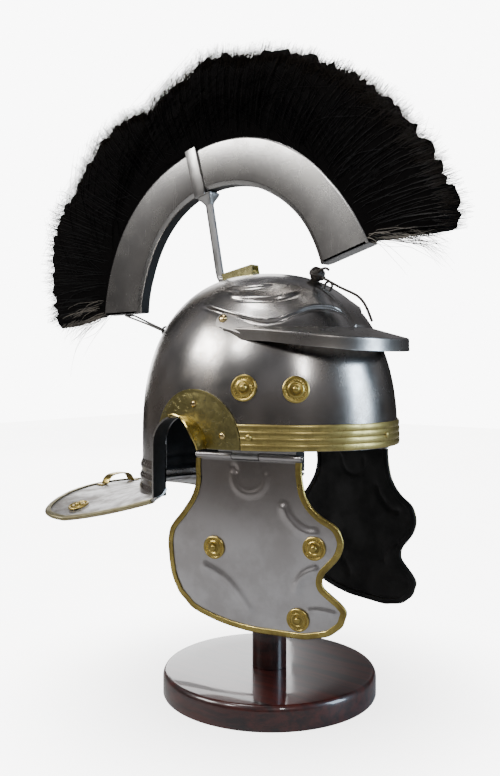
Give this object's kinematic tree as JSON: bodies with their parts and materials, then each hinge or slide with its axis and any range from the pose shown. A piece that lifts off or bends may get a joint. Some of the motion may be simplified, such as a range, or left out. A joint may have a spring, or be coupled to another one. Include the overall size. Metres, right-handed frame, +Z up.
{
  "type": "roman legionary helmet with crest on display stand",
  "caption": "Steel helmet with neck guard, hinged cheek guards, brass trim and an arched horsehair crest, held up on a round wooden stand.",
  "frame": {"origin": "centre of the underside of the stand's base", "axes": "+X to the front of the helmet, +Y to the wearer's left, +Z up"},
  "size_m": [0.5024, 0.2426, 0.597],
  "materials": {
    "bowl_steel": "polished and waxed, slightly uneven, dark brownish",
    "satin_steel": "satin brushed with fine scratches",
    "brass": "aged, scratched, tarnished in the corners",
    "wood": "dark red-brown gloss varnish",
    "horsehair": "black, loose grey-brown tips",
    "leather": "dark, dull",
    "dark_iron": "blackened wire"
  },
  "bodies": {
    "helmet": {"bowl": "bowl_steel", "bowl_boss_front_left": "brass", "bowl_boss_front_right": "brass", "bowl_boss_rear_left": "brass", "bowl_boss_rear_right": "brass", "brow_band": "brass", "brow_guard": "bowl_steel", "brow_rivet_left": "brass", "brow_rivet_right": "brass", "carrying_handle": "brass", "crest_box": "satin_steel", "crest_hair": "horsehair", "crest_support": "satin_steel", "ear_guard_left": "brass", "ear_guard_right": "brass", "front_ring": "dark_iron", "hinge_leaf_left": "satin_steel", "hinge_leaf_right": "satin_steel", "hinge_pin_left": "satin_steel", "hinge_pin_right": "satin_steel", "key_box": "brass", "neck_boss_left": "brass", "neck_boss_right": "brass", "neck_edging": "brass", "rear_hook": "dark_iron", "rear_ring": "dark_iron", "stand_base": "wood", "stand_post": "wood", "thong": "leather", "thong_knot": "leather"},
    "cheek_right": {"cheek_plate_right": "satin_steel", "cheek_edging_right": "brass", "cheek_boss_rear_right": "brass", "cheek_boss_front_right": "brass", "cheek_boss_low_right": "brass"},
    "cheek_left": {"cheek_plate_left": "satin_steel", "cheek_edging_left": "brass", "cheek_boss_rear_left": "brass", "cheek_boss_front_left": "brass", "cheek_boss_low_left": "brass"}
  },
  "joints": [
    {"name": "cheek_right_hinge", "type": "hinge", "parent": "helmet", "child": "cheek_right", "pos_m": [-0.008, -0.091, 0.2255], "axis": [-0.9732, -0.23, 0], "range_deg": [-25, 95]},
    {"name": "cheek_left_hinge", "type": "hinge", "parent": "helmet", "child": "cheek_left", "pos_m": [-0.008, 0.091, 0.2255], "axis": [0.9732, -0.23, 0], "range_deg": [-25, 95]}
  ]
}
